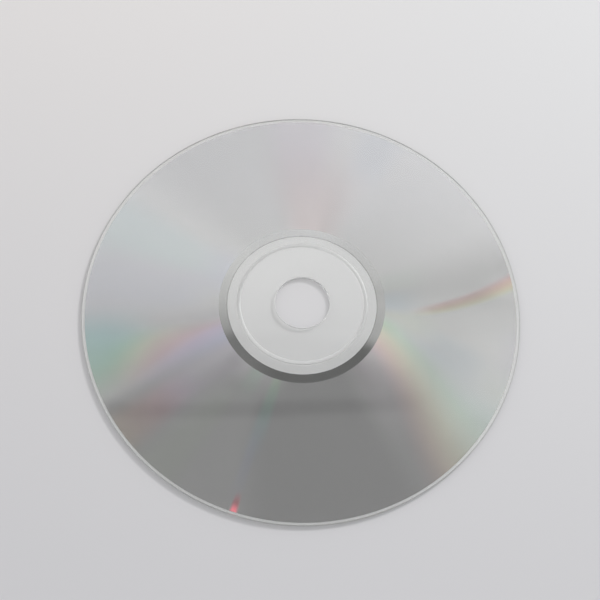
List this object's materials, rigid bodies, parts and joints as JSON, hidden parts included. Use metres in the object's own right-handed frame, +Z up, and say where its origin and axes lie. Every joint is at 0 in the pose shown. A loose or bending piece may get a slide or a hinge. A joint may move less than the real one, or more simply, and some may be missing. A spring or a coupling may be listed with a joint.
{
  "type": "compact disc",
  "caption": "Flat round optical disc with a clear hub, a centre hole, a stacking ring and a mirror film under clear plastic.",
  "frame": {"origin": "centre of the disc's underside, on the axis of the hole, in the plane that the disc rests on", "axes": "+Z up along the axis of the hole, out of the read side, away from the label side"},
  "size_m": [0.12, 0.12, 0.0013],
  "materials": {
    "clear_plastic": "clear polished polycarbonate",
    "mirror_film": "bright sputtered aluminium film",
    "clear_lacquer": "thin clear cured lacquer"
  },
  "bodies": {
    "root": {"clear_disc": "clear_plastic", "reflective_film": "mirror_film", "lacquer_coat": "clear_lacquer"}
  },
  "joints": []
}
